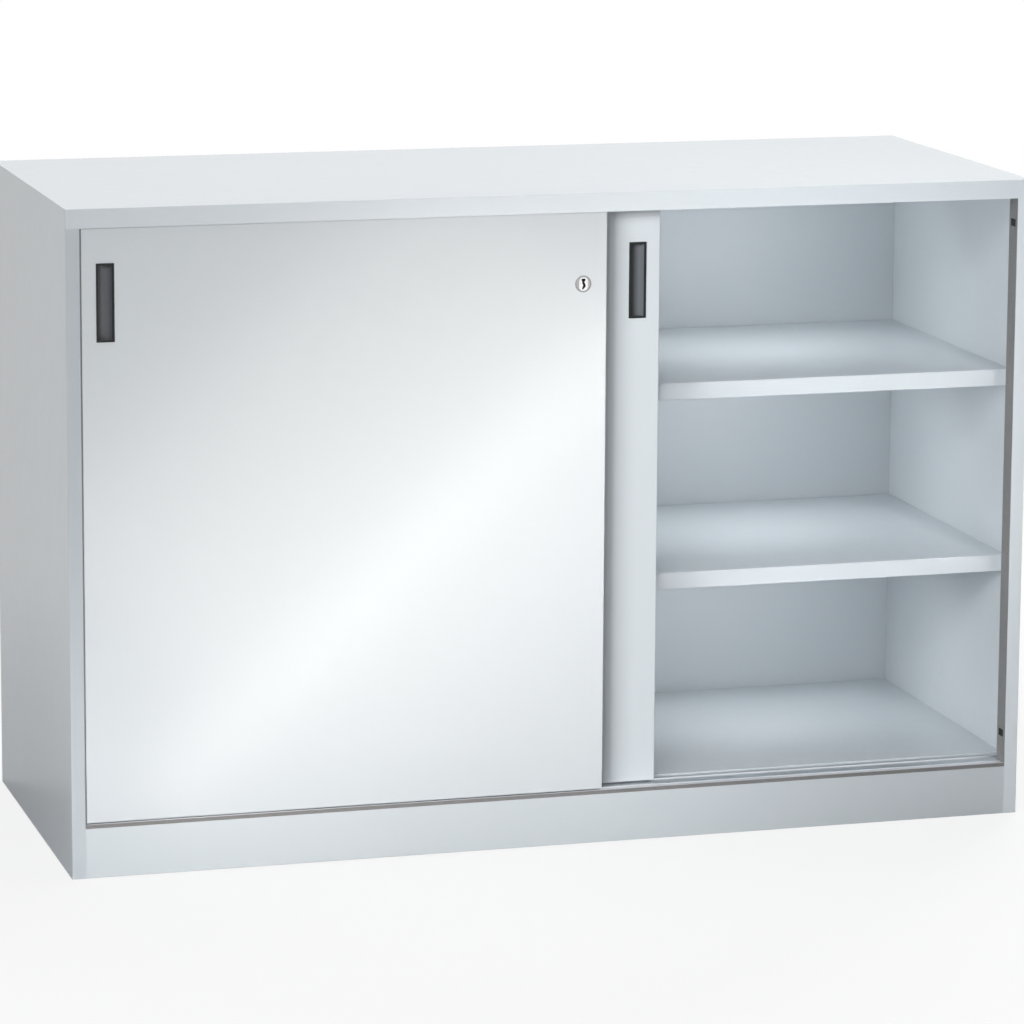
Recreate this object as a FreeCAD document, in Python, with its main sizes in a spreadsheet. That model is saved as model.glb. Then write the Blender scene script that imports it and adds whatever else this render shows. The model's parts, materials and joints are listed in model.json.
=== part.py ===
import FreeCAD, Part
import os

import Sketcher

# Steel cabinet with two overlapping sliding doors, in millimetres.
# X runs along the front from left to right, Y from the front to the back, Z up from the floor.
# The row origin is the middle of the footprint, on the floor.
# Carcass pieces are drawn in a frame whose origin lies on the floor at the middle of the front plane.
# Door pieces are drawn in a frame at the middle of the door's lower front edge.

doc = FreeCAD.newDocument("sliding_door_cabinet")

# Driving dimensions, each written once.
SIZES = {
    # carcass
    "width": 1500.0,
    "depth": 600.0,
    "height": 1000.0,
    "gauge": 1.2,                # sheet of the carcass and shelves
    "bend": 1.5,                 # outside radius of a fold
    "edge_break": 0.8,           # rounding where sheets end
    "sheet_play": 0.2,           # play between sheets that nest
    "stile_width": 21.0,
    "fascia_height": 29.0,
    "plinth_height": 75.5,
    "foot_flange": 25.0,
    "back_inset": 20.0,
    "rear_fold": 20.0,
    "gusset_leg": 110.0,
    "gusset_gauge": 2.0,
    "fixing_hole_radius": 5.5,
    "fixing_from_side": 60.0,
    "fixing_from_front": 40.0,
    # shelves and floor
    "floor_rise": 7.5,           # plinth top to floor panel
    "floor_seat": 12.0,
    "lower_shelf_pitch": 317.0,   # floor to lower shelf
    "upper_shelf_pitch": 295.0,   # lower to upper shelf
    "shelf_lip": 26.0,
    "shelf_side_lip": 12.0,
    "shelf_hem": 12.0,
    "shelf_play": 0.8,
    "shelf_behind_floor_lip": 2.0,
    "rail_width": 14.0,
    "rail_height": 12.0,
    "rail_gauge": 1.5,
    "rail_end_gap": 16.0,
    "hat_crown": 40.0,
    "hat_flange": 15.0,
    "hat_height": 18.0,
    "hat_end_gap": 50.0,
    "floor_hat_from_middle": 250.0,
    # tracks and trim
    "jamb_trim": 0.8,
    "trim_setback": 0.3,
    "strip_height": 6.5,          # plinth top to the lip and ribs of the bottom track
    "trim_drop": 1.0,             # trim strip below the lip of the track
    "track_gauge": 1.5,
    "track_deck_drop": 2.0,
    "rib_width": 2.0,
    "rib_round": 0.8,
    "channel_gauge": 1.2,
    "channel_depth": 19.8,
    "channel_play": 0.5,
    # doors
    "door_setback": 3.0,
    "door_thickness": 24.0,
    "door_gap": 7.0,
    "door_overlap": 142.0,
    "door_edge_gap": 1.0,
    "door_lift": 1.0,
    "door_rise": 5.0,
    "door_gauge": 1.0,
    "panel_gauge": 0.8,
    "panel_flange": 6.0,
    "door_hat_end_gap": 30.0,
    "jamb_clearance": 3.0,
    "floor_clearance": 6.0,
    "jamb_cover": 10.0,
    "right_door_reveal": 93.5,
    "stop_gap": 0.3,
    # handles
    "handle_width": 27.0,
    "handle_height": 116.0,
    "handle_rim": 1.2,
    "handle_border": 2.0,
    "handle_wall": 1.0,
    "handle_depth": 13.0,
    "handle_from_edge": 22.0,
    "handle_below_top": 139.0,
    "handle_play": 0.2,
    "handle_round": 0.6,
    "snap_height": 40.0,
    "snap_reach": 1.0,
    "snap_length": 2.0,
    # rollers
    "roller_radius": 9.0,
    "roller_flange": 1.6,
    "roller_width": 6.0,
    "groove_floor_width": 2.4,
    "groove_mouth_width": 3.6,
    "roller_crest_width": 0.4,
    "roller_chamfer": 0.8,
    "roller_rise": 0.2,
    "roller_play": 0.5,
    "roller_from_edge": 60.0,
    "axle_radius": 2.0,
    "axle_play": 0.05,
    "axle_head_radius": 3.2,
    "axle_head": 0.8,
    "bracket_gauge": 1.5,
    "bracket_length": 40.0,
    "bracket_headroom": 2.4,
    "bracket_foot": 12.0,
    "rivet_radius": 1.6,
    "rivet_head_radius": 2.8,
    "rivet_head": 0.8,
    "rivet_tail": 1.0,
    "hole_play": 0.1,
    "roller_slot_gap": 4.0,
    # guides, stop and screws
    "guide_length": 40.0,
    "guide_width": 20.0,
    "guide_height": 17.0,
    "guide_round": 3.0,
    "screw_radius": 2.0,
    "screw_head_radius": 3.6,
    "screw_head": 2.6,
    "screw_sink": 3.0,
    "screw_tail": 5.0,
    "socket_radius": 1.3,
    "socket_depth": 1.6,
    "stop_length": 20.0,
    "stop_height": 13.6,
    # buffers
    "buffer_depth": 16.0,
    "buffer_height": 11.0,
    "buffer_from_door_end": 44.0,
    # lock
    "lock_from_edge": 37.0,
    "lock_below_top": 137.0,
    "rosette_radius": 12.5,
    "rosette_rim": 1.5,
    "rosette_recess": 0.8,
    "rosette_border": 1.4,
    "barrel_radius": 9.0,
    "barrel_tail": 1.8,
    "barrel_play": 0.15,
    "plug_radius": 6.5,
    "plug_play": 0.05,
    "plug_face_width": 14.0,
    "plug_face_height": 21.0,
    "plug_face_gap": 0.1,
    "plug_face_proud": 0.1,
    "keyhole_width": 4.8,
    "keyhole_height": 11.6,
    "keyhole_depth": 8.0,
    "key_mouth_width": 6.6,
    "key_mouth_height": 16.0,
    "key_mouth_depth": 0.6,
    "tail_square": 7.0,
    "tail_play": 0.05,
    "nut_flats": 24.0,
    "nut_gauge": 1.6,
    "cam_gauge": 2.0,
    "cam_gap": 0.2,
    "cam_hub_radius": 8.0,
    "cam_arm_width": 8.0,
    "cam_reach": 25.0,
    "cam_tooth": 3.0,
    "cam_hook": 6.0,
    "cam_screw_head_radius": 4.5,
    "cam_screw_head": 1.2,
    "cam_screw_length": 10.0,
    "strike_gauge": 1.5,
    "strike_width": 22.0,
    "strike_height": 40.0,
    "strike_back_gap": 1.0,
    "strike_tooth_gap": 2.0,
    "strike_arm_gap": 1.0,
    "strike_rivet_spacing": 24.0,
    "strike_rivet_from_edge": 7.0,
}

# Planes and lengths that follow from the driving dimensions.
PLACES = {
    "side_inside": "sizes.width / 2 - sizes.gauge",
    "inner_half": "side_inside - sizes.sheet_play",
    "stile_inside": "sizes.width / 2 - sizes.stile_width",
    "jamb_half": "stile_inside - sizes.jamb_trim",
    "front_plane": "-sizes.depth / 2",
    "fascia_bottom": "sizes.height - sizes.fascia_height",
    "top_underside": "sizes.height - sizes.gauge",
    "back_plane": "sizes.depth - sizes.back_inset - sizes.gauge",
    "rear_flange_plane": "sizes.depth - sizes.gauge",
    "rear_fold_bottom": "sizes.height - sizes.rear_fold",
    "strip_top": "sizes.plinth_height + sizes.strip_height",
    "deck_level": "strip_top - sizes.track_deck_drop",
    "front_door_mid": "sizes.door_setback + sizes.door_thickness / 2",
    "rear_door_front": "sizes.door_setback + sizes.door_thickness + sizes.door_gap",
    "rear_door_mid": "rear_door_front + sizes.door_thickness / 2",
    "return_depth": "rear_door_front - sizes.jamb_clearance",
    "floor_front": "rear_door_front + sizes.door_thickness + sizes.floor_clearance",
    "shelf_front": "floor_front + sizes.shelf_behind_floor_lip",
    "shelf_rear": "back_plane - 2 * sizes.shelf_play",
    "shelf_half": "side_inside - sizes.shelf_play",
    "floor_level": "sizes.plinth_height + sizes.floor_rise",
    "lower_shelf_level": "floor_level + sizes.lower_shelf_pitch",
    "upper_shelf_level": "lower_shelf_level + sizes.upper_shelf_pitch",
    "plinth_shelf": "floor_front + sizes.floor_seat",
    "track_rear": "floor_front - sizes.sheet_play",
    "track_front": "sizes.trim_setback + sizes.channel_gauge",
    "channel_half": "sizes.guide_width / 2 + sizes.channel_play",
    "channel_bottom": "top_underside - sizes.channel_depth",
    "door_bottom": "strip_top + sizes.door_lift",
    "door_top": "fascia_bottom + sizes.door_rise",
    "door_height": "door_top - door_bottom",
    "door_half": "(2 * (jamb_half - sizes.door_edge_gap) + sizes.door_overlap) / 4",
    "left_door_x": "-jamb_half + sizes.door_edge_gap + door_half",
    "right_door_x": "left_door_x + sizes.right_door_reveal",
    "right_door_closed_x": "jamb_half + sizes.jamb_cover - door_half",
    "roller_x": "door_half - sizes.roller_from_edge",
    "axle_level": "sizes.roller_radius + sizes.roller_rise - sizes.door_lift",
    "roller_rim": "sizes.roller_radius + sizes.roller_flange",
    "cheek_inside": "sizes.roller_width / 2 + sizes.roller_play",
    "cheek_outside": "cheek_inside + sizes.bracket_gauge",
    "bracket_height": "axle_level - sizes.door_gauge + roller_rim + sizes.bracket_headroom"
                      " + sizes.bracket_gauge",
    "foot_x": "sizes.bracket_length / 2 + sizes.bracket_foot / 2",
    "handle_x": "door_half - sizes.handle_from_edge - sizes.handle_width / 2",
    "handle_z": "sizes.height - sizes.handle_below_top - door_bottom",
    "cup_half_width": "sizes.handle_width / 2 - sizes.handle_border",
    "cup_half_height": "sizes.handle_height / 2 - sizes.handle_border",
    "trough_radius": "cup_half_width - sizes.handle_wall",
    "lock_x": "door_half - sizes.lock_from_edge",
    "lock_z": "sizes.height - sizes.lock_below_top - door_bottom",
    "cam_front": "sizes.door_thickness + sizes.barrel_tail + sizes.cam_gap",
    "strike_x": "left_door_x + lock_x - right_door_closed_x - sizes.cam_reach + sizes.cam_tooth"
                " + sizes.strike_tooth_gap",
    "stop_x": "right_door_x - roller_x - sizes.guide_length / 2 - sizes.stop_gap - sizes.stop_length / 2",
}

sizes = doc.addObject("Spreadsheet::Sheet", "sizes")
for row, (alias, value) in enumerate(SIZES.items(), start=1):
    sizes.set(f"A{row}", alias)
    sizes.set(f"B{row}", str(value))
    sizes.setAlias(f"B{row}", alias)

places = doc.addObject("Spreadsheet::Sheet", "places")
for row, (alias, formula) in enumerate(PLACES.items(), start=1):
    places.set(f"A{row}", alias)
    places.set(f"B{row}", "=" + formula)
    places.setAlias(f"B{row}", alias)
doc.recompute()

pieces = []


# ---------------------------------------------------------------- helpers

def value(expression):
    """Number that an expression of the two sheets has now."""
    return float(places.evalExpression(expression))


def piece(name, x="0", y="places.front_plane", z="0"):
    """Start the body of one sub-part, with its frame at x, y, z in the row."""
    body = doc.addObject("PartDesign::Body", name)
    body.Label = name
    body.AllowCompound = True
    for axis, expression in (("x", x), ("y", y), ("z", z)):
        body.setExpression(f".Placement.Base.{axis}", expression)
    pieces.append(body)
    return body


def rectangle(x_low, y_low, x_high, y_high):
    """Corners of a rectangle between two opposite corners."""
    return [(x_low, y_low), (x_high, y_low), (x_high, y_high), (x_low, y_high)]


def both_sides(outline):
    """The outline and its mirror image about the sketch's vertical axis."""
    return [outline, [(f"-({x})", y) for x, y in outline]]


def hat(half_crown, flange, sheet, base, crest):
    """Outline of a hat section, from its flanges' contact face at base to its crown at crest."""
    rise = 1 if value(crest) > value(base) else -1
    inner = f"{half_crown} - {sheet}"
    outer = f"{half_crown} + {flange}"
    step = f"{rise} * {sheet}"
    return [
        (f"-({outer})", base), (f"-({inner})", base), (f"-({inner})", f"{crest} - {step}"),
        (inner, f"{crest} - {step}"), (inner, base), (outer, base),
        (outer, f"{base} + {step}"), (half_crown, f"{base} + {step}"), (half_crown, crest),
        (f"-({half_crown})", crest), (f"-({half_crown})", f"{base} + {step}"),
        (f"-({outer})", f"{base} + {step}"),
    ]


def shifted(outline, x="0", y="0"):
    """The outline moved by x and y."""
    return [(f"{a} + {x}", f"{b} + {y}") for a, b in outline]


def fix_point(sketch, geometry, position, x, y):
    """Hold one point of the sketch at x, y from its origin."""
    for kind, expression in (("DistanceX", x), ("DistanceY", y)):
        number = sketch.addConstraint(
            Sketcher.Constraint(kind, -1, 1, geometry, position, value(expression)))
        sketch.setExpression(f"Constraints[{number}]", expression)


def draw(body, name, plane, outlines=(), circles=(), level="0"):
    """Sketch closed outlines and circles on an origin plane, moved to level along its axis."""
    sketch = body.newObject("Sketcher::SketchObject", name)
    support = [item for item in body.Origin.OriginFeatures if item.Role == plane][0]
    sketch.AttachmentSupport = (support, [""])
    sketch.MapMode = "FlatFace"
    offset = f"-({level})" if plane == "XZ_Plane" else level
    sketch.setExpression("AttachmentOffset.Base.z", offset)
    first = 0
    for outline in outlines:
        corners = [FreeCAD.Vector(value(x), value(y), 0) for x, y in outline]
        count = len(corners)
        lines = [Part.LineSegment(corners[i], corners[(i + 1) % count]) for i in range(count)]
        sketch.addGeometry(lines, False)
        for i in range(count):
            sketch.addConstraint(
                Sketcher.Constraint("Coincident", first + i, 2, first + (i + 1) % count, 1))
        for i, (x, y) in enumerate(outline):
            fix_point(sketch, first + i, 1, x, y)
        first += count
    for x, y, radius in circles:
        centre = FreeCAD.Vector(value(x), value(y), 0)
        sketch.addGeometry(Part.Circle(centre, FreeCAD.Vector(0, 0, 1), value(radius)), False)
        fix_point(sketch, first, 3, x, y)
        number = sketch.addConstraint(Sketcher.Constraint("Radius", first, value(radius)))
        sketch.setExpression(f"Constraints[{number}]", radius)
        first += 1
    return sketch


def normal_is_backwards(sketch):
    """True on the XZ plane, whose normal points towards -Y."""
    return sketch.AttachmentSupport[0][0].Role == "XZ_Plane"


def settle(feature):
    """Recompute and see that the feature has a shape."""
    doc.recompute()
    if "Invalid" in feature.State or feature.Shape.isNull():
        raise RuntimeError(f"{feature.Label} failed: {feature.State}")
    return feature


def grow(body, name, sketch, length):
    """Pad the sketch towards +X, +Y or +Z."""
    pad = body.newObject("PartDesign::Pad", name)
    pad.Profile = sketch
    pad.setExpression("Length", length)
    pad.Reversed = normal_is_backwards(sketch)
    return settle(pad)


def cut(body, name, sketch, length):
    """Pocket the sketch towards +X, +Y or +Z, and see that it removes something."""
    before = body.Shape.Volume
    pocket = body.newObject("PartDesign::Pocket", name)
    pocket.Profile = sketch
    pocket.setExpression("Length", length)
    pocket.Reversed = not normal_is_backwards(sketch)
    settle(pocket)
    if not body.Shape.Volume < before:
        raise RuntimeError(f"{body.Label}: {name} removes nothing")
    return pocket


def turn(body, name, sketch):
    """Revolve the sketch about its horizontal axis."""
    revolution = body.newObject("PartDesign::Revolution", name)
    revolution.Profile = sketch
    revolution.ReferenceAxis = (sketch, ["H_Axis"])
    revolution.Angle = 360
    return settle(revolution)


def lies_at(box, wanted):
    """True if the box is flat at each wanted coordinate."""
    near = 1e-4
    for axis, place in wanted.items():
        low = getattr(box, axis + "Min")
        high = getattr(box, axis + "Max")
        if abs(low - place) > near or abs(high - place) > near:
            return False
    return True


def edges_at(feature, *lines):
    """Names of the edges that lie on any of the lines, each given as two coordinates."""
    names = []
    for number, edge in enumerate(feature.Shape.Edges, start=1):
        if any(lies_at(edge.BoundBox, line) for line in lines):
            names.append(f"Edge{number}")
    return names


def round_edges(body, name, radius, *lines):
    """Fillet the edges of the body's tip that lie on the lines."""
    base = body.Tip
    fillet = body.newObject("PartDesign::Fillet", name)
    fillet.Base = (base, edges_at(base, *lines))
    fillet.setExpression("Radius", radius)
    return settle(fillet)


def hollow(body, name, plane, corners, wall, level, depth):
    """Cut a cavity inside the rectangle between two corners, a wall in from each side."""
    x_low, y_low, x_high, y_high = corners
    inside = rectangle(f"{x_low} + {wall}", f"{y_low} + {wall}",
                       f"{x_high} - ({wall})", f"{y_high} - ({wall})")
    cavity = draw(body, name + "_plan", plane, [inside], level=level)
    return cut(body, name, cavity, depth)


# ---------------------------------------------------------------- carcass

def side_panel(name, side):
    """Side wall folded into the front stile, its return flange and the rear flange.

    A weld, ground flush, closes the seam between the stile and the plinth.
    """
    body = piece(name)
    outline = [
        ("sizes.width / 2", "0"), ("sizes.width / 2", "sizes.depth"),
        ("sizes.width / 2 - sizes.back_inset", "sizes.depth"),
        ("sizes.width / 2 - sizes.back_inset", "places.rear_flange_plane"),
        ("places.side_inside", "places.rear_flange_plane"), ("places.side_inside", "sizes.gauge"),
        ("places.stile_inside + sizes.gauge", "sizes.gauge"),
        ("places.stile_inside + sizes.gauge", "places.return_depth"),
        ("places.stile_inside", "places.return_depth"), ("places.stile_inside", "0"),
    ]
    profile = draw(body, name + "_profile", "XY_Plane", [[(f"{side} * ({x})", y) for x, y in outline]])
    grow(body, name + "_folds", profile, "places.top_underside")
    outer = side * value("sizes.width / 2")
    inner = side * value("places.stile_inside")
    round_edges(body, name + "_bends", "sizes.bend", {"X": outer, "Y": 0}, {"X": inner, "Y": 0},
                {"X": outer, "Y": value("sizes.depth")})
    front_notch = [
        ("sizes.width / 2 + sizes.bend", "-sizes.bend"), ("sizes.width / 2 + sizes.bend", "sizes.gauge"),
        ("places.side_inside", "sizes.gauge"), ("places.side_inside", "places.return_depth + sizes.bend"),
        ("places.stile_inside - sizes.bend", "places.return_depth + sizes.bend"),
        ("places.stile_inside - sizes.bend", "-sizes.bend"),
    ]
    above = draw(body, name + "_fascia_notch", "XY_Plane",
                 [[(f"{side} * ({x})", y) for x, y in front_notch]], level="places.fascia_bottom")
    cut(body, name + "_fascia_seat", above, "sizes.fascia_height")
    rear_notch = rectangle(
        "sizes.width / 2 - sizes.back_inset - sizes.bend", "places.rear_flange_plane",
        "sizes.width / 2 + sizes.bend", "sizes.depth + sizes.bend")
    behind = draw(body, name + "_fold_notch", "XY_Plane",
                  [[(f"{side} * ({x})", y) for x, y in rear_notch]], level="places.rear_fold_bottom")
    cut(body, name + "_fold_seat", behind, "sizes.rear_fold")
    weld = rectangle("places.stile_inside - sizes.sheet_play", "0", "places.stile_inside + sizes.bend",
                     "sizes.gauge")
    seam = draw(body, name + "_plinth_weld_plan", "XY_Plane",
                [[(f"{side} * ({x})", y) for x, y in weld]], level="0")
    grow(body, name + "_plinth_weld", seam, "sizes.plinth_height")
    return body


side_panel("left_side_panel", -1)
side_panel("right_side_panel", 1)

# Top sheet with the fascia at the front and a short fold at the back.
top = piece("top_panel")
top_outline = [
    ("0", "places.fascia_bottom"), ("0", "sizes.height"), ("sizes.depth", "sizes.height"),
    ("sizes.depth", "places.rear_fold_bottom"),
    ("places.rear_flange_plane", "places.rear_fold_bottom"),
    ("places.rear_flange_plane", "places.top_underside"), ("sizes.gauge", "places.top_underside"),
    ("sizes.gauge", "places.fascia_bottom"),
]
top_profile = draw(top, "top_profile", "YZ_Plane", [top_outline], level="-sizes.width / 2")
grow(top, "top_folds", top_profile, "sizes.width")
round_edges(top, "top_bends", "sizes.bend", {"Y": 0, "Z": value("sizes.height")},
            {"Y": value("sizes.depth"), "Z": value("sizes.height")})
round_edges(top, "top_ends", "sizes.edge_break",
            {"X": -value("sizes.width / 2"), "Z": value("sizes.height")},
            {"X": value("sizes.width / 2"), "Z": value("sizes.height")},
            {"X": -value("sizes.width / 2"), "Y": 0}, {"X": value("sizes.width / 2"), "Y": 0})


def hat_along_x(name, sheet, base, crest, middle, half_length):
    """Hat section along X, centred at a distance behind the front plane."""
    body = piece(name)
    outline = shifted(hat("sizes.hat_crown / 2", "sizes.hat_flange", sheet, base, crest), x=middle)
    section = draw(body, name + "_section", "YZ_Plane", [outline], level=f"-({half_length})")
    grow(body, name + "_run", section, f"2 * ({half_length})")
    return body


hat_along_x("top_stiffener", "sizes.gauge", "places.top_underside",
            "places.top_underside - sizes.hat_height", "sizes.depth / 2",
            "places.side_inside - sizes.hat_end_gap")

# Back tray, open to the rear, inside the rear flanges of the sides.
back = piece("back_panel")
back_corners = ("-places.inner_half", "sizes.plinth_height", "places.inner_half",
                "places.top_underside - sizes.sheet_play")
back_depth = "places.rear_flange_plane - sizes.sheet_play - places.back_plane"
back_face = draw(back, "back_face", "XZ_Plane", [rectangle(*back_corners)], level="places.back_plane")
grow(back, "back_block", back_face, back_depth)
hollow(back, "back_tray", "XZ_Plane", back_corners, "sizes.gauge", "places.back_plane + sizes.gauge",
       f"{back_depth} - sizes.gauge")

# Floor tray, open below; its front lip stands on the plinth behind the track.
floor = piece("floor_panel")
floor_corners = ("-places.inner_half", "places.floor_front", "places.inner_half",
                 "places.back_plane - sizes.sheet_play")
floor_plan = draw(floor, "floor_plan", "XY_Plane", [rectangle(*floor_corners)],
                  level="sizes.plinth_height")
grow(floor, "floor_block", floor_plan, "sizes.floor_rise")
round_edges(floor, "floor_bend", "sizes.bend",
            {"Y": value("places.floor_front"), "Z": value("places.floor_level")})
hollow(floor, "floor_tray", "XY_Plane", floor_corners, "sizes.gauge", "sizes.plinth_height",
       "sizes.floor_rise - sizes.gauge")

for side_name, side in (("left", -1), ("right", 1)):
    name = f"floor_stiffener_{side_name}"
    stiffener = piece(name)
    section = draw(
        stiffener, name + "_section", "XZ_Plane",
        [shifted(hat("sizes.hat_crown / 2", "sizes.hat_flange", "sizes.gauge",
                     "places.floor_level - sizes.gauge",
                     "places.floor_level - sizes.gauge - sizes.hat_height"),
                 x=f"{side} * sizes.floor_hat_from_middle")],
        level="places.plinth_shelf + sizes.gauge")
    grow(stiffener, name + "_run", section,
         "places.back_plane - sizes.foot_flange - places.plinth_shelf - 2 * sizes.gauge")

# Front plinth: C section between the stiles whose top flange carries the track and the floor lip.
plinth = piece("front_plinth")
plinth_half = "places.stile_inside - sizes.sheet_play"
plinth_outline = [
    ("0", "0"), ("sizes.foot_flange", "0"), ("sizes.foot_flange", "sizes.gauge"),
    ("sizes.gauge", "sizes.gauge"), ("sizes.gauge", "sizes.plinth_height - sizes.gauge"),
    ("places.plinth_shelf", "sizes.plinth_height - sizes.gauge"),
    ("places.plinth_shelf", "sizes.plinth_height"), ("0", "sizes.plinth_height"),
]
plinth_profile = draw(plinth, "plinth_profile", "YZ_Plane", [plinth_outline],
                      level=f"-({plinth_half})")
grow(plinth, "plinth_folds", plinth_profile, f"2 * ({plinth_half})")
plinth_ears = draw(
    plinth, "plinth_ear_plan", "XY_Plane",
    both_sides(rectangle(f"{plinth_half} - sizes.foot_flange",
                         "places.return_depth + sizes.sheet_play", "places.inner_half",
                         "places.plinth_shelf")),
    level="sizes.plinth_height - sizes.gauge")
grow(plinth, "plinth_ears", plinth_ears, "sizes.gauge")
round_edges(plinth, "plinth_bends", "sizes.edge_break", {"Y": 0, "Z": value("sizes.plinth_height")},
            {"Y": 0, "Z": 0})

# Rear plinth: C section that opens forward and carries the floor and the back.
rear_plinth = piece("rear_plinth")
rear_web = "places.rear_flange_plane - sizes.sheet_play"
rear_outline = [
    (f"{rear_web} - sizes.foot_flange", "0"), (rear_web, "0"), (rear_web, "sizes.plinth_height"),
    ("places.back_plane - sizes.foot_flange", "sizes.plinth_height"),
    ("places.back_plane - sizes.foot_flange", "sizes.plinth_height - sizes.gauge"),
    (f"{rear_web} - sizes.gauge", "sizes.plinth_height - sizes.gauge"),
    (f"{rear_web} - sizes.gauge", "sizes.gauge"),
    (f"{rear_web} - sizes.foot_flange", "sizes.gauge"),
]
rear_profile = draw(rear_plinth, "rear_plinth_profile", "YZ_Plane", [rear_outline],
                    level="-places.inner_half")
grow(rear_plinth, "rear_plinth_folds", rear_profile, "2 * places.inner_half")

# Corner plates in the base, each with a hole to bolt the cabinet down.
gussets = piece("base_gussets")
gusset_out = "places.stile_inside - sizes.sheet_play"
gusset_in = f"{gusset_out} - sizes.gusset_leg"
gusset_front = "sizes.gauge + sizes.sheet_play"
gusset_rear = "sizes.depth - sizes.gauge - sizes.gauge - 2 * sizes.sheet_play"
half_leg = "sizes.gusset_leg / 2"
front_plate = [
    (gusset_out, gusset_front), (gusset_out, f"{gusset_front} + sizes.gusset_leg"),
    (f"{gusset_out} - {half_leg}", f"{gusset_front} + sizes.gusset_leg"),
    (gusset_in, f"{gusset_front} + {half_leg}"), (gusset_in, gusset_front),
]
rear_plate = [
    (gusset_out, gusset_rear), (gusset_out, f"{gusset_rear} - sizes.gusset_leg"),
    (f"{gusset_out} - {half_leg}", f"{gusset_rear} - sizes.gusset_leg"),
    (gusset_in, f"{gusset_rear} - {half_leg}"), (gusset_in, gusset_rear),
]
gusset_plan = draw(gussets, "gusset_plan", "XY_Plane", both_sides(front_plate) + both_sides(rear_plate),
                   level="sizes.gauge")
grow(gussets, "gusset_plates", gusset_plan, "sizes.gusset_gauge")
fixing_x = "sizes.width / 2 - sizes.fixing_from_side"
fixing_holes = [
    (f"{side} * ({fixing_x})", y, "sizes.fixing_hole_radius")
    for side in (-1, 1)
    for y in ("sizes.fixing_from_front", "sizes.depth - sizes.fixing_from_front")
]
hole_plan = draw(gussets, "gusset_hole_plan", "XY_Plane", circles=fixing_holes, level="sizes.gauge")
cut(gussets, "gusset_holes", hole_plan, "sizes.gusset_gauge")


# ---------------------------------------------------------------- shelves

def shelf(name, level):
    """Pan with deep lips and hems along the front and back, and short lips at its ends."""
    body = piece(name)
    hem_top = f"{level} - sizes.shelf_lip + sizes.gauge"
    lip_bottom = f"{level} - sizes.shelf_lip"
    under = f"{level} - sizes.gauge"
    outline = [
        ("places.shelf_front", lip_bottom), ("places.shelf_front", level),
        ("places.shelf_rear", level), ("places.shelf_rear", lip_bottom),
        ("places.shelf_rear - sizes.shelf_hem", lip_bottom),
        ("places.shelf_rear - sizes.shelf_hem", hem_top), ("places.shelf_rear - sizes.gauge", hem_top),
        ("places.shelf_rear - sizes.gauge", under), ("places.shelf_front + sizes.gauge", under),
        ("places.shelf_front + sizes.gauge", hem_top),
        ("places.shelf_front + sizes.shelf_hem", hem_top),
        ("places.shelf_front + sizes.shelf_hem", lip_bottom),
    ]
    profile = draw(body, name + "_profile", "YZ_Plane", [outline], level="-places.shelf_half")
    grow(body, name + "_folds", profile, "2 * places.shelf_half")
    ends = draw(
        body, name + "_end_plan", "XY_Plane",
        both_sides(rectangle("places.shelf_half - sizes.gauge", "places.shelf_front + sizes.gauge / 2",
                             "places.shelf_half", "places.shelf_rear - sizes.gauge / 2")),
        level=f"{level} - sizes.shelf_side_lip")
    grow(body, name + "_end_lips", ends, "sizes.shelf_side_lip - sizes.gauge / 2")
    front = value("places.shelf_front")
    round_edges(body, name + "_bends", "sizes.bend", {"Y": front, "Z": value(level)})
    round_edges(body, name + "_hem_bends", "sizes.edge_break", {"Y": front, "Z": value(lip_bottom)})
    return body


def shelf_rails(name, level):
    """Angles along both side walls that the shelf's end lips rest on."""
    body = piece(name)
    seat = f"{level} - sizes.shelf_side_lip"
    outline = [
        ("places.side_inside", seat), ("places.side_inside - sizes.rail_width", seat),
        ("places.side_inside - sizes.rail_width", f"{seat} - sizes.rail_gauge"),
        ("places.side_inside - sizes.rail_gauge", f"{seat} - sizes.rail_gauge"),
        ("places.side_inside - sizes.rail_gauge", f"{seat} - sizes.rail_height"),
        ("places.side_inside", f"{seat} - sizes.rail_height"),
    ]
    section = draw(body, name + "_section", "XZ_Plane", both_sides(outline),
                   level="places.shelf_front + sizes.rail_end_gap")
    grow(body, name + "_run", section,
         "places.shelf_rear - places.shelf_front - 2 * sizes.rail_end_gap")
    return body


for shelf_name in ("upper_shelf", "lower_shelf"):
    level = f"places.{shelf_name}_level"
    shelf(shelf_name, level)
    hat_along_x(shelf_name + "_stiffener", "sizes.gauge", f"{level} - sizes.gauge",
                f"{level} - sizes.gauge - sizes.hat_height",
                "(places.shelf_front + places.shelf_rear) / 2",
                "places.shelf_half - sizes.hat_end_gap")
    shelf_rails(shelf_name + "_rails", level)

# ---------------------------------------------------------------- tracks, trim and stops

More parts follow.
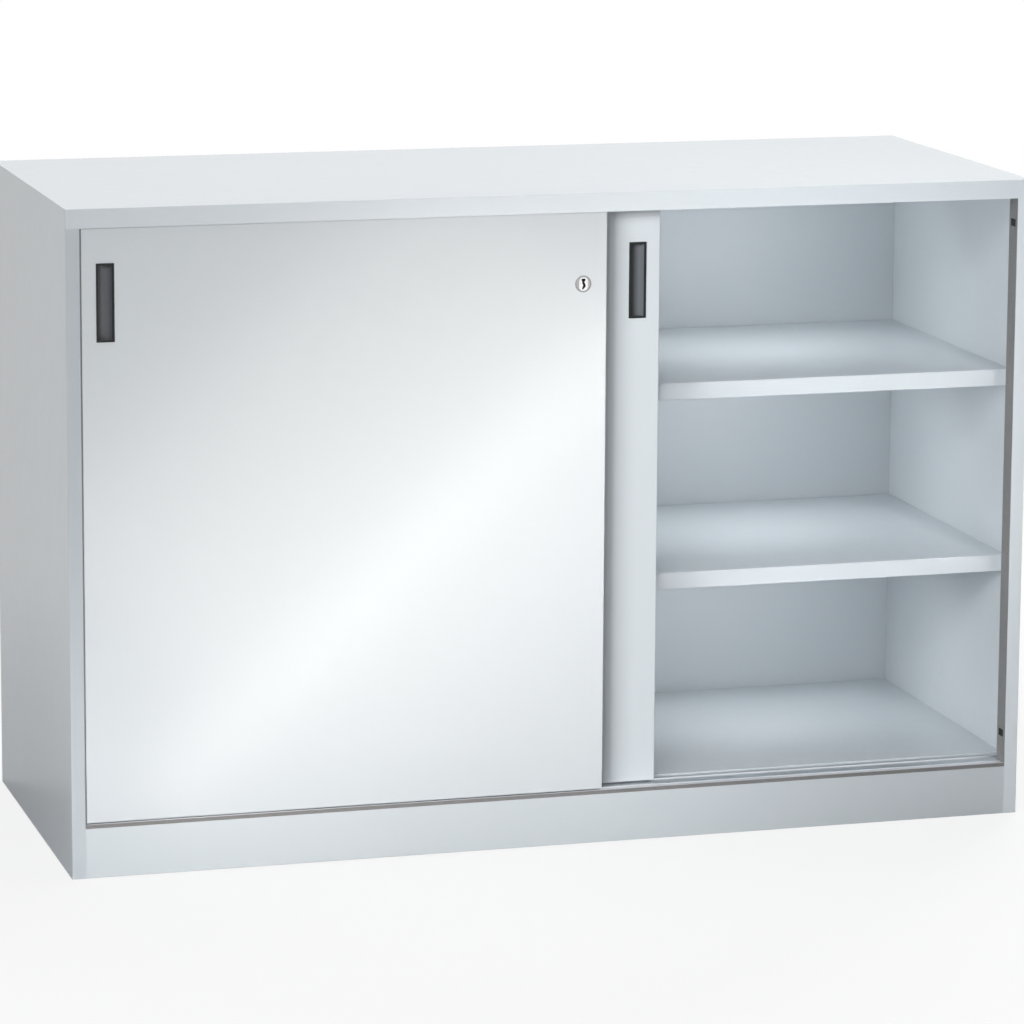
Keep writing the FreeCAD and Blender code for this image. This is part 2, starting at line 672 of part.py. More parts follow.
# Bottom track: deck on three legs with a raised lip in front and one rib under each door.
track = piece("bottom_track")
rib = "sizes.rib_width / 2"
mid_leg = "(places.front_door_mid + places.rear_door_mid) / 2"
deck_under = "places.deck_level - sizes.track_gauge"
track_outline = [
    ("places.track_front", "sizes.plinth_height"), ("places.track_front", "places.strip_top"),
    ("places.track_front + sizes.track_gauge", "places.strip_top"),
    ("places.track_front + sizes.track_gauge", "places.deck_level"),
]
for rib_middle in ("places.front_door_mid", "places.rear_door_mid"):
    track_outline += [
        (f"{rib_middle} - {rib}", "places.deck_level"), (f"{rib_middle} - {rib}", "places.strip_top"),
        (f"{rib_middle} + {rib}", "places.strip_top"), (f"{rib_middle} + {rib}", "places.deck_level"),
    ]
track_outline += [
    ("places.track_rear", "places.deck_level"), ("places.track_rear", "sizes.plinth_height"),
    ("places.track_rear - sizes.track_gauge", "sizes.plinth_height"),
    ("places.track_rear - sizes.track_gauge", deck_under),
    (f"{mid_leg} + sizes.track_gauge / 2", deck_under),
    (f"{mid_leg} + sizes.track_gauge / 2", "sizes.plinth_height"),
    (f"{mid_leg} - sizes.track_gauge / 2", "sizes.plinth_height"),
    (f"{mid_leg} - sizes.track_gauge / 2", deck_under),
    ("places.track_front + sizes.track_gauge", deck_under),
    ("places.track_front + sizes.track_gauge", "sizes.plinth_height"),
]
track_profile = draw(track, "bottom_track_profile", "YZ_Plane", [track_outline],
                     level="-places.inner_half")
grow(track, "bottom_track_run", track_profile, "2 * places.inner_half")
rib_lines = []
for rib_middle in ("places.front_door_mid", "places.rear_door_mid"):
    for edge_side in ("-", "+"):
        rib_lines.append({"Y": value(f"{rib_middle} {edge_side} {rib}"),
                          "Z": value("places.strip_top")})
round_edges(track, "bottom_track_ribs", "sizes.rib_round", *rib_lines)
track_ends = draw(
    track, "bottom_track_end_plan", "XY_Plane",
    both_sides(rectangle("places.jamb_half - sizes.sheet_play", "0", "sizes.width / 2",
                         "places.return_depth + sizes.sheet_play * 2")),
    level="0")
cut(track, "bottom_track_ends", track_ends, "places.strip_top + sizes.bend")

# Dark strip along the front of the bottom track.
strip = piece("bottom_trim")
strip_face = draw(
    strip, "bottom_trim_face", "XZ_Plane",
    [rectangle("-places.jamb_half", "sizes.plinth_height", "places.jamb_half",
               "places.strip_top - sizes.trim_drop")],
    level="sizes.trim_setback")
grow(strip, "bottom_trim_run", strip_face, "sizes.channel_gauge")

# Top track: two channels side by side that hang from the top sheet.
top_track = piece("top_track")
front_lip = "places.front_door_mid - places.channel_half"
rear_lip = "places.rear_door_mid + places.channel_half"
channel_roof = "places.top_underside - sizes.channel_gauge"
top_track_outline = [
    (f"{front_lip} - sizes.channel_gauge", "places.top_underside"),
    (f"{rear_lip} + sizes.channel_gauge", "places.top_underside"),
    (f"{rear_lip} + sizes.channel_gauge", "places.channel_bottom"), (rear_lip, "places.channel_bottom"),
    (rear_lip, channel_roof), ("places.rear_door_mid - places.channel_half", channel_roof),
    ("places.rear_door_mid - places.channel_half", "places.channel_bottom"),
    ("places.rear_door_mid - places.channel_half - sizes.channel_gauge", "places.channel_bottom"),
    ("places.rear_door_mid - places.channel_half - sizes.channel_gauge", channel_roof),
    ("places.front_door_mid + places.channel_half + sizes.channel_gauge", channel_roof),
    ("places.front_door_mid + places.channel_half + sizes.channel_gauge", "places.channel_bottom"),
    ("places.front_door_mid + places.channel_half", "places.channel_bottom"),
    ("places.front_door_mid + places.channel_half", channel_roof), (front_lip, channel_roof),
    (front_lip, "places.channel_bottom"), (f"{front_lip} - sizes.channel_gauge", "places.channel_bottom"),
]
top_track_profile = draw(top_track, "top_track_profile", "YZ_Plane", [top_track_outline],
                         level="-places.inner_half")
grow(top_track, "top_track_run", top_track_profile, "2 * places.inner_half")
stop_hole = draw(top_track, "top_track_stop_hole", "XY_Plane",
                 circles=[("places.stop_x", "places.rear_door_mid",
                           "sizes.screw_radius + sizes.hole_play")],
                 level=channel_roof)
cut(top_track, "top_track_hole", stop_hole, "sizes.channel_gauge")

# Dark liners on the inner faces of the return flanges.
for side_name, side in (("left", -1), ("right", 1)):
    name = f"{side_name}_jamb_trim"
    jamb = piece(name)
    plan = rectangle("places.jamb_half", "sizes.trim_setback", "places.stile_inside",
                     "places.return_depth")
    section = draw(jamb, name + "_plan", "XY_Plane", [[(f"{side} * ({x})", y) for x, y in plan]],
                   level="sizes.plinth_height")
    grow(jamb, name + "_run", section, "places.fascia_bottom - sizes.plinth_height")

buffer_levels = ("places.door_bottom + sizes.buffer_from_door_end",
                 "places.door_top - sizes.buffer_from_door_end")


def buffer_faces(front, base):
    """Rectangles of the pads at both levels, seen along X."""
    return [rectangle(front, f"{level} - sizes.buffer_height / 2", f"{front} + sizes.buffer_depth",
                      f"{level} + sizes.buffer_height / 2") for level in base]


# Flat pads on both jambs that the front door meets.
front_buffers = piece("front_door_buffers")
pad_front = "places.front_door_mid - sizes.buffer_depth / 2"
for side_name, start in (("left", "-places.jamb_half"),
                         ("right", "places.jamb_half - (sizes.door_edge_gap - sizes.stop_gap)")):
    faces = draw(front_buffers, f"front_buffer_faces_{side_name}", "YZ_Plane",
                 buffer_faces(pad_front, buffer_levels), level=start)
    grow(front_buffers, f"front_buffers_{side_name}", faces, "sizes.door_edge_gap - sizes.stop_gap")

# Thick pads on the right wall that the rear door meets.
rear_buffers = piece("rear_door_buffers")
rear_pad_start = "places.right_door_closed_x + places.door_half + sizes.stop_gap"
rear_faces = draw(rear_buffers, "rear_buffer_faces", "YZ_Plane",
                  buffer_faces("places.rear_door_mid - sizes.buffer_depth / 2", buffer_levels),
                  level=rear_pad_start)
grow(rear_buffers, "rear_buffers", rear_faces, f"places.side_inside - ({rear_pad_start})")

# Stop block in the rear channel that ends the rear door's travel to the left.
stop = piece("rear_door_stop")
stop_plan = draw(
    stop, "stop_plan", "XY_Plane",
    [rectangle("places.stop_x - sizes.stop_length / 2",
               "places.rear_door_mid - sizes.guide_width / 2",
               "places.stop_x + sizes.stop_length / 2",
               "places.rear_door_mid + sizes.guide_width / 2")],
    level=f"{channel_roof} - sizes.stop_height")
grow(stop, "stop_block", stop_plan, "sizes.stop_height")
stop_bore = draw(stop, "stop_bore_plan", "XY_Plane",
                 circles=[("places.stop_x", "places.rear_door_mid",
                           "sizes.screw_radius + sizes.hole_play")],
                 level=f"{channel_roof} - sizes.stop_height")
cut(stop, "stop_bore", stop_bore, "sizes.stop_height")
stop_sink = draw(stop, "stop_sink_plan", "XY_Plane",
                 circles=[("places.stop_x", "places.rear_door_mid",
                           "sizes.screw_head_radius + sizes.hole_play")],
                 level=f"{channel_roof} - sizes.stop_height")
cut(stop, "stop_sink", stop_sink, "sizes.screw_sink")

stop_screw = piece("rear_door_stop_screw")
screw_seat = f"{channel_roof} - sizes.stop_height + sizes.screw_sink"
screw_head = draw(stop_screw, "stop_screw_head_plan", "XY_Plane",
                  circles=[("places.stop_x", "places.rear_door_mid", "sizes.screw_head_radius")],
                  level=f"{screw_seat} - sizes.screw_head")
grow(stop_screw, "stop_screw_head", screw_head, "sizes.screw_head")
screw_shank = draw(stop_screw, "stop_screw_shank_plan", "XY_Plane",
                   circles=[("places.stop_x", "places.rear_door_mid", "sizes.screw_radius")],
                   level=screw_seat)
grow(stop_screw, "stop_screw_shank", screw_shank,
     f"places.top_underside - sizes.hole_play - ({screw_seat})")
screw_socket = draw(stop_screw, "stop_screw_socket_plan", "XY_Plane",
                    circles=[("places.stop_x", "places.rear_door_mid", "sizes.socket_radius")],
                    level=f"{screw_seat} - sizes.screw_head")
cut(stop_screw, "stop_screw_socket", screw_socket, "sizes.socket_depth")


# ---------------------------------------------------------------- doors

door_back = "sizes.door_thickness"
door_mid = "sizes.door_thickness / 2"
panel_inset = "sizes.door_gauge + sizes.sheet_play"


def door_skin(name, place, handle_centre, lock_hole):
    """Outer tray with the handle window, roller slots and screw holes."""
    body = piece(name, *place)
    corners = ("-places.door_half", "0", "places.door_half", "places.door_height")
    face = draw(body, name + "_face", "XZ_Plane", [rectangle(*corners)])
    grow(body, name + "_block", face, door_back)
    half = value("places.door_half")
    high = value("places.door_height")
    round_edges(body, name + "_bends", "sizes.bend", {"X": -half, "Y": 0}, {"X": half, "Y": 0},
                {"Y": 0, "Z": 0}, {"Y": 0, "Z": high}, {"X": -half, "Z": 0}, {"X": half, "Z": 0},
                {"X": -half, "Z": high}, {"X": half, "Z": high})
    hollow(body, name + "_tray", "XZ_Plane", corners, "sizes.door_gauge", "sizes.door_gauge",
           f"{door_back} - sizes.door_gauge")
    window = rectangle(
        f"{handle_centre} - places.cup_half_width - sizes.handle_play",
        "places.handle_z - places.cup_half_height - sizes.handle_play",
        f"{handle_centre} + places.cup_half_width + sizes.handle_play",
        "places.handle_z + places.cup_half_height + sizes.handle_play")
    round_holes = []
    if lock_hole:
        round_holes.append(("places.lock_x", "places.lock_z", "sizes.barrel_radius + sizes.barrel_play"))
    else:
        round_holes += strike_rivet_places("sizes.rivet_radius + sizes.hole_play")
    openings = draw(body, name + "_opening_face", "XZ_Plane", [window], round_holes)
    cut(body, name + "_openings", openings, "sizes.door_gauge")
    slot_half = "places.roller_rim + sizes.roller_slot_gap / 2"
    slots = both_sides(rectangle(f"places.roller_x - ({slot_half})", f"{door_mid} - places.cheek_inside",
                                 f"places.roller_x + {slot_half}", f"{door_mid} + places.cheek_inside"))
    slot_plan = draw(body, name + "_slot_plan", "XY_Plane", slots,
                     bracket_rivet_places("sizes.rivet_radius + sizes.hole_play"))
    cut(body, name + "_slots", slot_plan, "sizes.door_gauge")
    screw_holes = draw(body, name + "_screw_hole_plan", "XY_Plane",
                       circles=guide_screw_places("sizes.screw_radius + sizes.hole_play"),
                       level="places.door_height - sizes.door_gauge")
    cut(body, name + "_screw_holes", screw_holes, "sizes.door_gauge")
    return body


def bracket_rivet_places(radius):
    """Circles of the rivets through the feet of both roller brackets, seen from above."""
    return [(f"{side} * places.roller_x + {foot} * places.foot_x", door_mid, radius)
            for side in (-1, 1) for foot in (-1, 1)]


def guide_screw_places(radius):
    """Circles of the screws of both guide blocks, seen from above."""
    return [(f"{side} * places.roller_x", door_mid, radius) for side in (-1, 1)]


def strike_rivet_places(radius):
    """Circles of the two rivets that hold the strike, seen from the front of the rear door."""
    across = "places.strike_x - sizes.strike_width + sizes.strike_rivet_from_edge"
    return [(across, f"places.lock_z + {side} * sizes.strike_rivet_spacing / 2", radius)
            for side in (-1, 1)]


def inner_panel(name, place, lock_hole):
    """Shallow tray that closes the back of the door."""
    body = piece(name, *place)
    corners = (f"-places.door_half + {panel_inset}", panel_inset,
               f"places.door_half - ({panel_inset})", f"places.door_height - ({panel_inset})")
    panel_front = f"{door_back} - sizes.panel_flange"
    face = draw(body, name + "_face", "XZ_Plane", [rectangle(*corners)], level=panel_front)
    grow(body, name + "_block", face, "sizes.panel_flange")
    hollow(body, name + "_tray", "XZ_Plane", corners, "sizes.panel_gauge", panel_front,
           "sizes.panel_flange - sizes.panel_gauge")
    if lock_hole:
        hole = draw(body, name + "_lock_hole_face", "XZ_Plane",
                    circles=[("places.lock_x", "places.lock_z",
                              "sizes.barrel_radius + sizes.barrel_play")],
                    level=f"{door_back} - sizes.panel_gauge")
        cut(body, name + "_lock_hole", hole, "sizes.panel_gauge")
    return body


def door_stiffener(name, place):
    """Upright hat section bonded between the skin and the inner panel."""
    body = piece(name, *place)
    section = draw(body, name + "_section", "XY_Plane",
                   [hat("sizes.hat_crown / 2", "sizes.hat_flange", "sizes.panel_gauge",
                        "sizes.door_gauge", f"{door_back} - sizes.panel_gauge")],
                   level="sizes.door_hat_end_gap")
    grow(body, name + "_run", section, "places.door_height - 2 * sizes.door_hat_end_gap")
    return body


def handle(name, place, centre):
    """Flush pull: rim on the skin, cup behind it with a round trough, and snap ribs."""
    body = piece(name, *place)
    half_wide = "sizes.handle_width / 2"
    half_high = "sizes.handle_height / 2"
    rim = draw(body, name + "_rim_face", "XZ_Plane",
               [rectangle(f"{centre} - {half_wide}", f"places.handle_z - {half_high}",
                          f"{centre} + {half_wide}", f"places.handle_z + {half_high}")],
               level="-sizes.handle_rim")
    grow(body, name + "_rim", rim, "sizes.handle_rim")
    cup = draw(body, name + "_cup_face", "XZ_Plane",
               [rectangle(f"{centre} - places.cup_half_width", "places.handle_z - places.cup_half_height",
                          f"{centre} + places.cup_half_width",
                          "places.handle_z + places.cup_half_height")],
               level="-sizes.handle_rim / 2")
    grow(body, name + "_cup", cup, "sizes.handle_depth + sizes.handle_rim / 2")
    front = -value("sizes.handle_rim")
    left = value(f"{centre} - {half_wide}")
    right = value(f"{centre} + {half_wide}")
    low = value(f"places.handle_z - {half_high}")
    high = value(f"places.handle_z + {half_high}")
    round_edges(body, name + "_edges", "sizes.handle_round", {"X": left, "Y": front},
                {"X": right, "Y": front}, {"Y": front, "Z": low}, {"Y": front, "Z": high},
                {"X": left, "Z": low}, {"X": left, "Z": high}, {"X": right, "Z": low},
                {"X": right, "Z": high})
    trough = draw(body, name + "_trough_plan", "XY_Plane",
                  circles=[(centre, "-sizes.handle_rim", "places.trough_radius")],
                  level="places.handle_z - places.cup_half_height + sizes.handle_wall")
    cut(body, name + "_trough", trough, "2 * (places.cup_half_height - sizes.handle_wall)")
    snap_start = "sizes.door_gauge + sizes.hole_play"
    snaps = [
        rectangle(f"{centre} + places.cup_half_width - sizes.handle_wall / 2", snap_start,
                  f"{centre} + places.cup_half_width + sizes.snap_reach",
                  f"{snap_start} + sizes.snap_length"),
        rectangle(f"{centre} - places.cup_half_width + sizes.handle_wall / 2", snap_start,
                  f"{centre} - places.cup_half_width - sizes.snap_reach",
                  f"{snap_start} + sizes.snap_length"),
    ]
    snap_plan = draw(body, name + "_snap_plan", "XY_Plane", snaps,
                     level="places.handle_z - sizes.snap_height / 2")
    grow(body, name + "_snaps", snap_plan, "sizes.snap_height")
    return body


def roller_bracket(name, place, centre):
    """Bridge over one roller: two cheeks, a top and two feet that stand in the tray."""
    body = piece(name, *place)
    half_long = "sizes.bracket_length / 2"
    base = "sizes.door_gauge"
    cheeks = [
        rectangle(f"{centre} - {half_long}", f"{door_mid} {sign} places.cheek_inside",
                  f"{centre} + {half_long}", f"{door_mid} {sign} places.cheek_outside")
        for sign in ("-", "+")
    ]
    cheek_plan = draw(body, name + "_cheek_plan", "XY_Plane", cheeks, level=base)
    grow(body, name + "_cheeks", cheek_plan, "places.bracket_height")
    bridge = rectangle(f"{centre} - {half_long}", f"{door_mid} - places.cheek_outside",
                       f"{centre} + {half_long}", f"{door_mid} + places.cheek_outside")
    bridge_plan = draw(body, name + "_bridge_plan", "XY_Plane", [bridge],
                       level=f"{base} + places.bracket_height - sizes.bracket_gauge")
    grow(body, name + "_bridge", bridge_plan, "sizes.bracket_gauge")
    feet = [
        rectangle(f"{centre} {sign} ({half_long} - sizes.bracket_gauge)",
                  f"{door_mid} - places.cheek_outside",
                  f"{centre} {sign} ({half_long} + sizes.bracket_foot)",
                  f"{door_mid} + places.cheek_outside")
        for sign in ("-", "+")
    ]
    feet_plan = draw(body, name + "_feet_plan", "XY_Plane", feet, level=base)
    grow(body, name + "_feet", feet_plan, "sizes.bracket_gauge")
    rivet_holes = [(f"{centre} {sign} places.foot_x", door_mid, "sizes.rivet_radius + sizes.hole_play")
                   for sign in ("-", "+")]
    rivet_plan = draw(body, name + "_rivet_plan", "XY_Plane", circles=rivet_holes, level=base)
    cut(body, name + "_rivet_holes", rivet_plan, "sizes.bracket_gauge")
    axle_face = draw(body, name + "_axle_face", "XZ_Plane",
                     circles=[(centre, "places.axle_level", "sizes.axle_radius + sizes.axle_play")],
                     level=f"{door_mid} - places.cheek_outside")
    cut(body, name + "_axle_hole", axle_face, "2 * places.cheek_outside")
    return body


def stacked_discs(name, place, plane, stack):
    """Group of equal pins, each made of discs: (label, centres and radius, level, length)."""
    body = piece(name, *place)
    for label, circles, level, length in stack:
        face = draw(body, f"{name}_{label}_face", plane, circles=circles, level=level)
        grow(body, f"{name}_{label}", face, length)
    return body


def axle_places(radius):
    """Circles of both axles, seen from the front."""
    return [(f"{side} * places.roller_x", "places.axle_level", radius) for side in (-1, 1)]


def roller(name, place, centre):
    """Grooved wheel that straddles the rib of the bottom track."""
    body = piece(name, *place)
    body.setExpression(".Placement.Base.x", f"{place[0]} + {centre}")
    body.setExpression(".Placement.Base.y", f"{place[1]} + {door_mid}")
    body.setExpression(".Placement.Base.z", f"{place[2]} + places.axle_level")
    bore = "sizes.axle_radius + sizes.axle_play"
    half_wide = "sizes.roller_width / 2"
    mouth = "sizes.groove_mouth_width / 2"
    outline = [
        (f"-{half_wide}", bore), (half_wide, bore),
        (half_wide, "places.roller_rim - sizes.roller_chamfer"),
        (f"{mouth} + sizes.roller_crest_width", "places.roller_rim"), (mouth, "places.roller_rim"),
        ("sizes.groove_floor_width / 2", "sizes.roller_radius"),
        ("-sizes.groove_floor_width / 2", "sizes.roller_radius"), (f"-{mouth}", "places.roller_rim"),
        (f"-{mouth} - sizes.roller_crest_width", "places.roller_rim"),
        (f"-{half_wide}", "places.roller_rim - sizes.roller_chamfer"),
    ]
    section = draw(body, name + "_section", "YZ_Plane", [outline])
    turn(body, name + "_wheel", section)
    return body


def guide(name, place, centre):
    """Plastic block on the door's top edge that runs in its channel."""
    body = piece(name, *place)
    block = rectangle(f"{centre} - sizes.guide_length / 2", f"{door_mid} - sizes.guide_width / 2",
                      f"{centre} + sizes.guide_length / 2", f"{door_mid} + sizes.guide_width / 2")
    plan = draw(body, name + "_plan", "XY_Plane", [block], level="places.door_height")
    grow(body, name + "_block", plan, "sizes.guide_height")
    corners = [{"X": value(f"{centre} {a} sizes.guide_length / 2"),
                "Y": value(f"{door_mid} {b} sizes.guide_width / 2")}
               for a in ("-", "+") for b in ("-", "+")]
    round_edges(body, name + "_corners", "sizes.guide_round", *corners)
    bore = draw(body, name + "_bore_plan", "XY_Plane",
                circles=[(centre, door_mid, "sizes.screw_radius + sizes.hole_play")],
                level="places.door_height")
    cut(body, name + "_bore", bore, "sizes.guide_height")
    sink = draw(body, name + "_sink_plan", "XY_Plane",
                circles=[(centre, door_mid, "sizes.screw_head_radius + sizes.hole_play")],
                level="places.door_height + sizes.guide_height - sizes.screw_sink")
    cut(body, name + "_sink", sink, "sizes.screw_sink")
    return body


def guide_screws(name, place):
    """Socket screws through both guide blocks into the skin."""
    seat = "places.door_height + sizes.guide_height - sizes.screw_sink"
    shank_end = "places.door_height - sizes.screw_tail"
    body = stacked_discs(name, place, "XY_Plane", [
        ("shank", guide_screw_places("sizes.screw_radius"), shank_end, f"{seat} - ({shank_end})"),
        ("head", guide_screw_places("sizes.screw_head_radius"), seat, "sizes.screw_head"),
    ])
    sockets = draw(body, name + "_socket_plan", "XY_Plane",
                   circles=guide_screw_places("sizes.socket_radius"),
                   level=f"{seat} + sizes.screw_head - sizes.socket_depth")
    cut(body, name + "_sockets", sockets, "sizes.socket_depth")
    return body


def door(name, x, front, side, has_lock):
    """All pieces of one door; side is -1 where the handle is near the left edge."""
    place = (x, f"places.front_plane + {front}", "places.door_bottom")
    handle_centre = f"{side} * places.handle_x"
    door_skin(name + "_skin", place, handle_centre, has_lock)
    inner_panel(name + "_inner_panel", place, has_lock)
    door_stiffener(name + "_stiffener", place)
    handle(name + "_handle", place, handle_centre)
    for end_name, end in (("left", -1), ("right", 1)):
        centre = f"{end} * places.roller_x"
        roller_bracket(f"{name}_bracket_{end_name}", place, centre)
        roller(f"{name}_roller_{end_name}", place, centre)
        guide(f"{name}_guide_{end_name}", place, centre)
    stacked_discs(name + "_axles", place, "XZ_Plane", [
        ("shank", axle_places("sizes.axle_radius"), f"{door_mid} - places.cheek_outside",
         "2 * places.cheek_outside"),
        ("front_head", axle_places("sizes.axle_head_radius"),
         f"{door_mid} - places.cheek_outside - sizes.axle_head", "sizes.axle_head"),
        ("rear_head", axle_places("sizes.axle_head_radius"), f"{door_mid} + places.cheek_outside",
         "sizes.axle_head"),
    ])
    foot_top = "sizes.door_gauge + sizes.bracket_gauge"
    stacked_discs(name + "_bracket_rivets", place, "XY_Plane", [
        ("shank", bracket_rivet_places("sizes.rivet_radius"), "0", foot_top),
        ("head", bracket_rivet_places("sizes.rivet_head_radius"), foot_top, "sizes.rivet_head"),
    ])
    guide_screws(name + "_guide_screws", place)
    return place


left_place = door("left_door", "places.left_door_x", "sizes.door_setback", -1, True)
right_place = door("right_door", "places.right_door_x", "places.rear_door_front", 1, False)

# ---------------------------------------------------------------- lock

lock_place = (f"{left_place[0]} + places.lock_x", left_place[1],
              f"{left_place[2]} + places.lock_z")
barrel_end = f"{door_back} + sizes.barrel_tail"
plug_bore = "sizes.plug_radius + sizes.plug_play"

# Housing: dished rosette on the skin and a barrel through both sheets of the door.
housing = piece("lock_housing", *lock_place)
housing_outline = [
    ("-(sizes.rosette_rim - sizes.rosette_recess)", plug_bore), (barrel_end, plug_bore),
    (barrel_end, "sizes.barrel_radius"), ("0", "sizes.barrel_radius"), ("0", "sizes.rosette_radius"),
    ("-sizes.rosette_rim / 2", "sizes.rosette_radius"),
    ("-sizes.rosette_rim", "sizes.rosette_radius - sizes.rosette_rim / 2"),
    ("-sizes.rosette_rim", "sizes.rosette_radius - sizes.rosette_border"),
    ("-(sizes.rosette_rim - sizes.rosette_recess)",
     "sizes.rosette_radius - sizes.rosette_border - sizes.rosette_recess / 2"),
]
housing_section = draw(housing, "housing_section", "YZ_Plane", [housing_outline])
turn(housing, "housing_turned", housing_section)

# Flat nut that clamps the housing from behind.
nut = piece("lock_nut", *lock_place)
nut_face = draw(nut, "nut_face", "XZ_Plane",
                [[(f"sizes.nut_flats / 2 / cos(30) * cos({angle})",
                   f"sizes.nut_flats / 2 / cos(30) * sin({angle})")
                  for angle in (0, 60, 120, 180, 240, 300)]],
                [("0", "0", "sizes.barrel_radius + sizes.plug_play")], level=door_back)
grow(nut, "nut_plate", nut_face, "sizes.nut_gauge")

# Warded keyway, in shares of its width and height from the plug's axis.
KEYWAY = (
    (-0.46, 0.5), (0.46, 0.5), (0.46, 0.3), (0.22, 0.3), (0.16, 0.16), (0.5, -0.05),
    (0.5, -0.28), (0.14, -0.4), (-0.08, -0.5), (-0.4, -0.5), (-0.24, -0.36), (-0.12, -0.25),
    (-0.06, -0.08), (-0.36, 0.11), (-0.14, 0.3), (-0.46, 0.3),
)

# Plug: oval face with a shallow key mouth, keyhole in a round core, and a square tail for the cam.
plug = piece("lock_plug", *lock_place)
face_back = "sizes.rosette_rim - sizes.rosette_recess + sizes.plug_face_gap"
core_face = draw(plug, "plug_core_face", "XZ_Plane", circles=[("0", "0", "sizes.plug_radius")],
                 level=f"-({face_back})")
grow(plug, "plug_core", core_face, f"{face_back} + {barrel_end}")
face_bulge = "(sizes.plug_face_height - sizes.plug_face_width) / 2"
face_radius = "sizes.plug_face_width / 2"
face_front = "sizes.rosette_rim + sizes.plug_face_proud"
face_discs = draw(
    plug, "plug_face_middle", "XZ_Plane",
    [rectangle(f"-{face_radius}", f"-{face_bulge}", face_radius, face_bulge)],
    level=f"-({face_front})")
grow(plug, "plug_face_band", face_discs, f"{face_front} - ({face_back})")
for end_name, end in (("top", 1), ("bottom", -1)):
    cap = draw(plug, f"plug_face_{end_name}", "XZ_Plane",
               circles=[("0", f"{end} * {face_bulge}", face_radius)], level=f"-({face_front})")
    grow(plug, f"plug_face_{end_name}_cap", cap, f"{face_front} - ({face_back})")
tail_face = draw(plug, "plug_tail_face", "XZ_Plane",
                 [rectangle("-sizes.tail_square / 2", "-sizes.tail_square / 2",
                            "sizes.tail_square / 2", "sizes.tail_square / 2")],
                 level=f"{barrel_end} - sizes.cam_gap")
grow(plug, "plug_tail", tail_face, "2 * sizes.cam_gap + sizes.cam_gauge - sizes.tail_play")
for hole in ("key_mouth", "keyhole"):
    keyway = draw(plug, hole + "_face", "XZ_Plane",
                  [[(f"{across} * sizes.{hole}_width", f"{up} * sizes.{hole}_height")
                    for across, up in KEYWAY]],
                  level=f"-({face_front})")
    cut(plug, hole + "_slot", keyway, f"sizes.{hole}_depth")
screw_bore = draw(plug, "plug_screw_face", "XZ_Plane",
                  circles=[("0", "0", "sizes.screw_radius + sizes.axle_play")],
                  level="places.cam_front + sizes.cam_gauge - sizes.cam_screw_length - sizes.cam_gap")
cut(plug, "plug_screw_bore", screw_bore, "sizes.cam_screw_length + sizes.cam_gap")

# Cam: arm that stands up when unlocked, with a hook that drops over the strike when turned.
cam = piece("lock_cam", *lock_place)
cam_hub = draw(cam, "cam_hub_face", "XZ_Plane", circles=[("0", "0", "sizes.cam_hub_radius")],
               level="places.cam_front")
grow(cam, "cam_hub", cam_hub, "sizes.cam_gauge")
half_arm = "sizes.cam_arm_width / 2"
arm_outline = [
    (f"-{half_arm}", "0"), (half_arm, "0"), (half_arm, "sizes.cam_reach"),
    (f"-{half_arm} - sizes.cam_hook", "sizes.cam_reach"),
    (f"-{half_arm} - sizes.cam_hook", "sizes.cam_reach - sizes.cam_tooth"),
    (f"-{half_arm}", "sizes.cam_reach - sizes.cam_tooth"),
]
cam_arm = draw(cam, "cam_arm_face", "XZ_Plane", [arm_outline], level="places.cam_front")
grow(cam, "cam_arm", cam_arm, "sizes.cam_gauge")
square = "sizes.tail_square / 2 + sizes.tail_play"
cam_square = draw(cam, "cam_square_face", "XZ_Plane",
                  [rectangle(f"-({square})", f"-({square})", square, square)],
                  level="places.cam_front")
cut(cam, "cam_square", cam_square, "sizes.cam_gauge")

cam_back = "places.cam_front + sizes.cam_gauge"
stacked_discs("lock_cam_screw", lock_place, "XZ_Plane", [
    ("shank", [("0", "0", "sizes.screw_radius")], f"{cam_back} - sizes.cam_screw_length",
     "sizes.cam_screw_length"),
    ("head", [("0", "0", "sizes.cam_screw_head_radius")], cam_back, "sizes.cam_screw_head"),
])

# Strike: plate on the rear door with a blade that reaches into the gap beside the cam.
strike = piece("lock_strike", *right_place)
strike_low = "places.lock_z - sizes.strike_height / 2"
strike_plate = draw(strike, "strike_plate_face", "XZ_Plane",
                    [rectangle("places.strike_x - sizes.strike_width", strike_low, "places.strike_x",
                               "places.lock_z + sizes.strike_height / 2")],
                    strike_rivet_places("sizes.rivet_radius + sizes.hole_play"),
                    level="-sizes.strike_gauge")
grow(strike, "strike_plate", strike_plate, "sizes.strike_gauge")
blade_reach = "sizes.door_gap - sizes.strike_back_gap"
strike_blade = draw(strike, "strike_blade_face", "XZ_Plane",
                    [rectangle("places.strike_x - sizes.strike_gauge", strike_low, "places.strike_x",
                               "places.lock_z - sizes.cam_arm_width / 2 - sizes.strike_arm_gap")],
                    level=f"-({blade_reach})")
grow(strike, "strike_blade", strike_blade, f"{blade_reach} - sizes.strike_gauge / 2")

stacked_discs("lock_strike_rivets", right_place, "XZ_Plane", [
    ("shank", strike_rivet_places("sizes.rivet_radius"), "-sizes.strike_gauge",
     "sizes.strike_gauge + sizes.door_gauge + sizes.rivet_tail"),
    ("head", strike_rivet_places("sizes.rivet_head_radius"), "-sizes.strike_gauge - sizes.rivet_head",
     "sizes.rivet_head"),
])

# ---------------------------------------------------------------- write the pieces

doc.recompute()
for item in doc.Objects:
    if "Invalid" in item.State or "Error" in item.State:
        raise RuntimeError(f"{item.Label} failed: {item.State}")
for body in pieces:
    if body.Shape.isNull() or not body.Shape.isValid():
        raise RuntimeError(f"{body.Label} has no valid shape")

